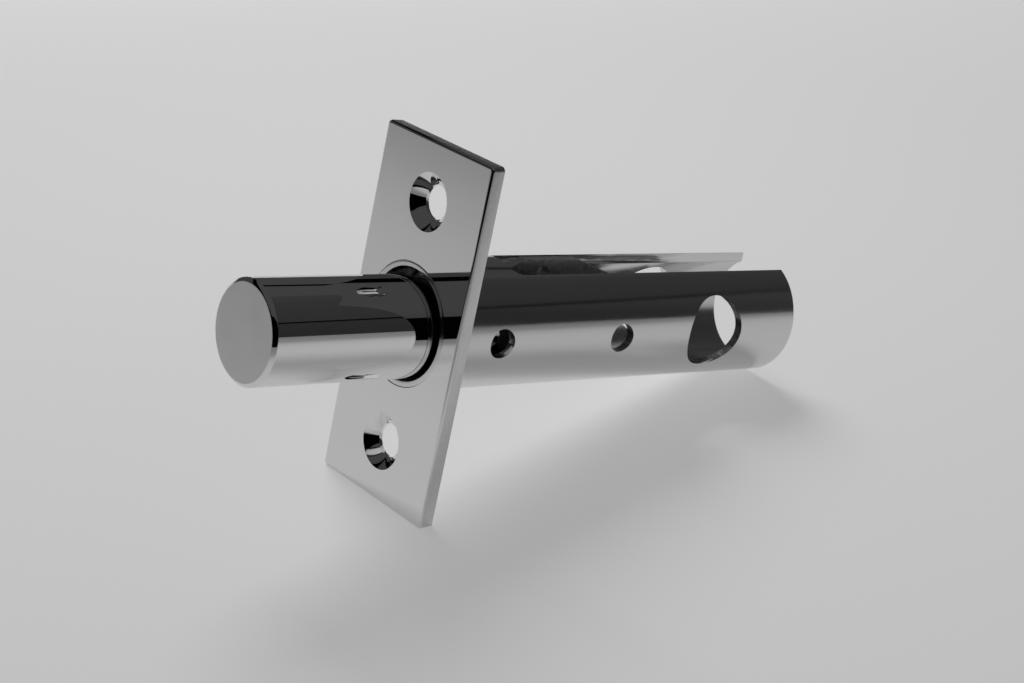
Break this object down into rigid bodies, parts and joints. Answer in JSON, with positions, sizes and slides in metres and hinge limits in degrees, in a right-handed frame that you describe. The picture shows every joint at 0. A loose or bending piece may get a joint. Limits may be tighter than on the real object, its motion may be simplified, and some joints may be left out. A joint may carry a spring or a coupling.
{
  "type": "tubular door rack bolt",
  "caption": "Tubular mortice door bolt: a round bolt slides out of a slotted tube case behind a screw-on faceplate, driven by a rack and a fluted key.",
  "frame": {"origin": "centre of the faceplate's front face, on the axis of the case", "axes": "-Y is the way the bolt throws, +Y runs back along the case, +Z runs along the faceplate towards the side with the open slot, X crosses the case along the key hole"},
  "size_m": [0.0204, 0.0824, 0.0444],
  "materials": {
    "case_chrome": "bright chrome plate, lightly drawn along its length",
    "plate_chrome": "polished chrome plate with blanked side edges",
    "bolt_chrome": "mirror chrome plate with a brushed nose",
    "rack_zinc": "dull zinc plate on stamped steel",
    "pin_steel": "satin steel",
    "spring_steel": "oiled spring wire"
  },
  "bodies": {
    "case_body": {"case_tube": "case_chrome", "faceplate": "plate_chrome"},
    "bolt_body": {"bolt": "bolt_chrome", "rack_plate": "rack_zinc", "rack_pin_front": "pin_steel", "rack_pin_rear": "pin_steel", "friction_ring": "spring_steel"}
  },
  "joints": [
    {"name": "bolt_slide", "type": "slide", "parent": "case_body", "child": "bolt_body", "axis": [0, 1, 0], "range_m": [-0.001, 0.0224]}
  ]
}
